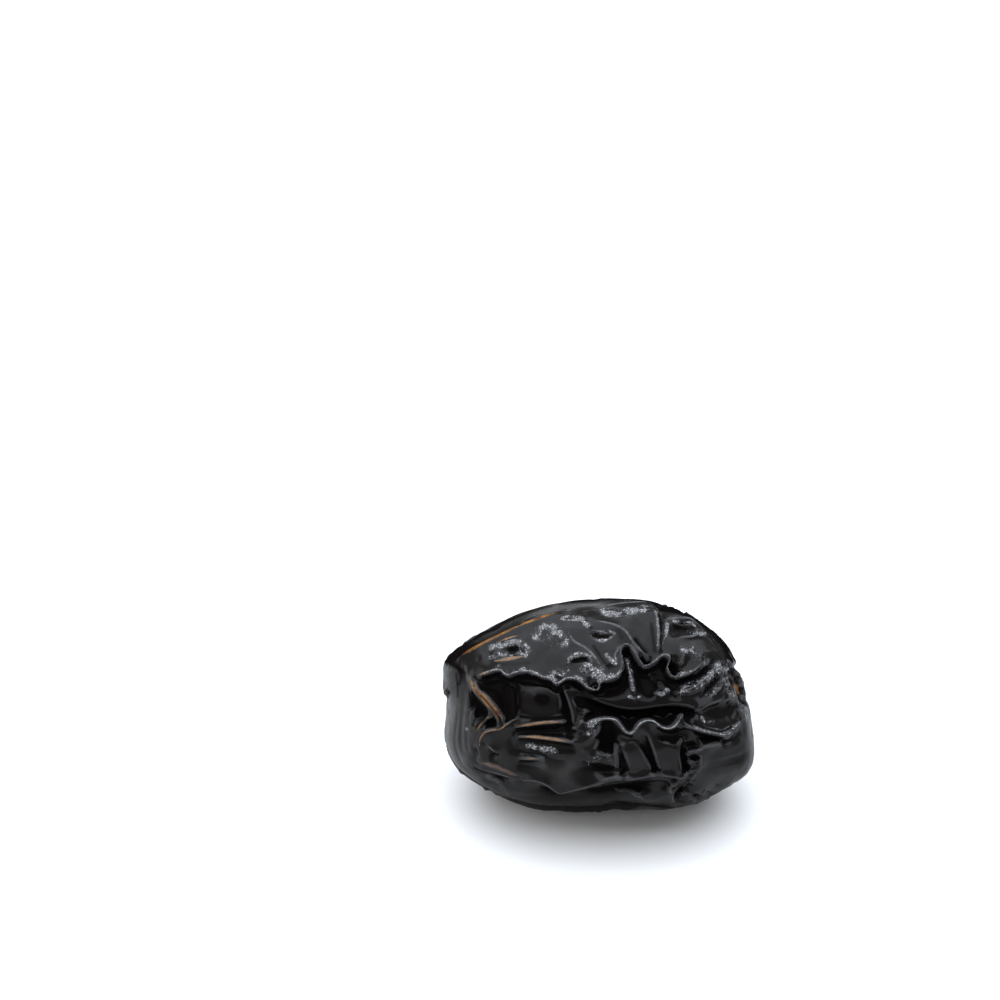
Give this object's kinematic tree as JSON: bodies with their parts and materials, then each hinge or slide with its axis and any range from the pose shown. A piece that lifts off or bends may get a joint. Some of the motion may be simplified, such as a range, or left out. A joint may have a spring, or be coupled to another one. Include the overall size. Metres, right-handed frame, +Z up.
{
  "type": "ajwa date",
  "caption": "Dried ajwa date lying on its side: a blunt oval fruit with black, glossy, deeply folded skin and a corky stem scar.",
  "frame": {"origin": "centre of the bounding box's underside, on the surface that the date lies on", "axes": "+X along the fruit towards the stem scar, +Z up, -Y towards the side the picture shows"},
  "size_m": [0.0322, 0.0218, 0.0209],
  "materials": {
    "date_skin": "glossy wrinkled natural skin, near black with brown and amber crack lines"
  },
  "bodies": {
    "root": {"date_fruit": "date_skin"}
  },
  "joints": []
}
